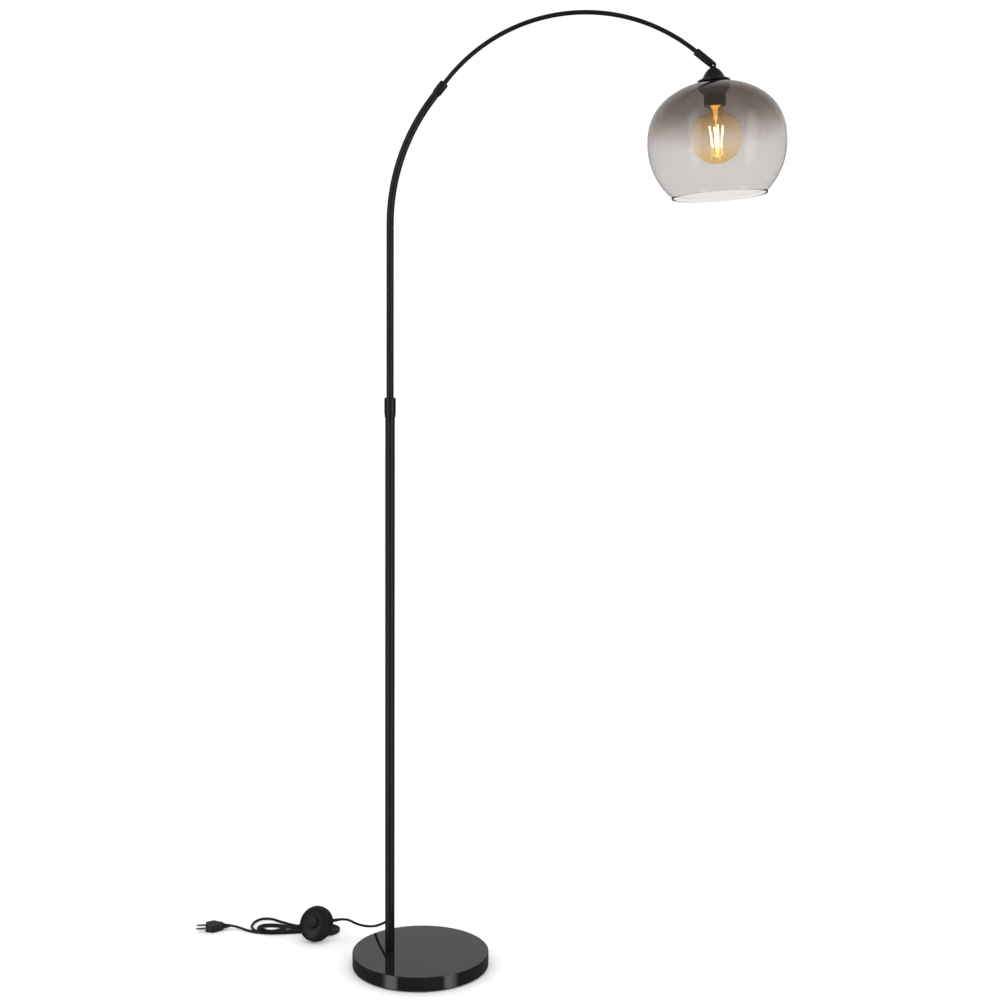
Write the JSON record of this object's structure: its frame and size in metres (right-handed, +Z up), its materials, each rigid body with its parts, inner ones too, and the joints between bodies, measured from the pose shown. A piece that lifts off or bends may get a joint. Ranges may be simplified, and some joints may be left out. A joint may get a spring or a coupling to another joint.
{
  "type": "arc floor lamp",
  "caption": "Floor lamp with a round stone base, telescoping mast, curved arm and a tilting smoked glass globe shade open below, with a foot switch on its lead.",
  "frame": {"origin": "centre of the base pad's underside, on the floor", "axes": "+Z up; +X from the base towards the shade, along the arm; +Y to the back, where the lead leaves the mast"},
  "size_m": [1.1303, 0.3641, 1.7881],
  "materials": {
    "marble": "black marble, polished, with a few faint pale veins",
    "felt": "black felt",
    "black_paint": "satin black powder coat",
    "steel": "zinc plated",
    "brass": "plain brass",
    "black_plastic": "fine matt black",
    "white_plastic": "plain white",
    "black_rubber": "matt black",
    "ceramic": "glazed ceramic",
    "smoked_glass": "smoke tint at the top fading to clear at the rim",
    "amber_glass": "amber tinted",
    "clear_glass": "clear",
    "filament": "warm white light source"
  },
  "bodies": {
    "base": {"base_pad": "felt", "marble_base": "marble", "base_washer": "steel", "base_nut": "steel", "threaded_stud": "steel", "tube_foot_plug": "steel", "lower_tube": "black_paint", "cord_gland": "black_rubber", "inner_lead_elbow": "black_rubber", "inner_lead_lower": "black_rubber", "cord_lead": "black_rubber", "cord_link": "black_rubber", "cord_hank": "black_rubber", "cord_tail": "black_rubber", "hank_tie": "black_rubber", "switch_base": "black_plastic", "switch_cover": "black_plastic", "switch_contacts": "white_plastic", "switch_spring": "steel", "switch_screw": "steel", "switch_relief_in": "black_rubber", "switch_relief_out": "black_rubber", "plug_body": "black_plastic", "plug_pin_left": "steel", "plug_pin_right": "steel", "plug_relief": "black_rubber"},
    "height_lock": {"height_lock_collar": "black_paint", "height_collet": "black_plastic"},
    "height_slide": {"height_guide_bush": "black_plastic"},
    "mast": {"middle_tube": "black_paint", "inner_lead_middle": "black_rubber"},
    "arch_lock": {"arch_lock_collar": "black_paint", "arch_collet": "black_plastic"},
    "arch": {"arch_tail_bush": "black_plastic", "arch_tube": "black_paint", "inner_lead_arch": "black_rubber", "end_sleeve": "black_paint", "sleeve_set_screw": "steel", "pivot_eyelet": "black_paint"},
    "head": {"swivel_link": "black_paint", "shade_cap": "black_paint", "cap_nut": "steel", "holder_upper": "black_plastic", "holder_lower": "black_plastic", "shade_ring": "black_plastic", "contact_insert": "ceramic", "centre_contact": "brass", "screw_shell": "brass", "inner_lead_head": "black_rubber", "glass_shade": "smoked_glass", "bulb_glass": "amber_glass", "bulb_screw_cap": "steel", "bulb_insulator": "black_plastic", "bulb_contact": "brass", "bulb_stem": "clear_glass", "filament_1": "filament", "filament_2": "filament", "filament_3": "filament", "filament_4": "filament"},
    "foot_button": {"switch_button": "black_plastic"}
  },
  "joints": [
    {"name": "height_lock_turn", "type": "hinge", "parent": "base", "child": "height_lock", "pos_m": [-0.059, 0, 1.066], "axis": [0, 0, 1], "range_deg": [0, 90]},
    {"name": "height_adjust", "type": "slide", "parent": "base", "child": "height_slide", "axis": [0, 0, 1], "range_m": [-0.3, 0.05]},
    {"name": "mast_swivel", "type": "hinge", "parent": "height_slide", "child": "mast", "pos_m": [-0.059, 0, 1], "axis": [0, 0, 1], "range_deg": [-170, 170]},
    {"name": "arch_lock_turn", "type": "hinge", "parent": "mast", "child": "arch_lock", "pos_m": [0.02126, 0, 1.63241], "axis": [0.6196, 0, 0.785], "range_deg": [0, 90]},
    {"name": "arch_swing", "type": "hinge", "parent": "mast", "child": "arch", "pos_m": [0.02126, 0, 1.63241], "axis": [0.6196, 0, 0.785], "range_deg": [-60, 60]},
    {"name": "head_tilt", "type": "hinge", "parent": "arch", "child": "head", "pos_m": [0.52892, 0, 1.69133], "axis": [0, -1, 0], "range_deg": [-26, 45]},
    {"name": "switch_press", "type": "slide", "parent": "base", "child": "foot_button", "axis": [0.3104, 0.8085, -0.5], "range_m": [0, 0.003], "stiffness_N_per_m": 2500, "springref_m": -0.0006}
  ]
}
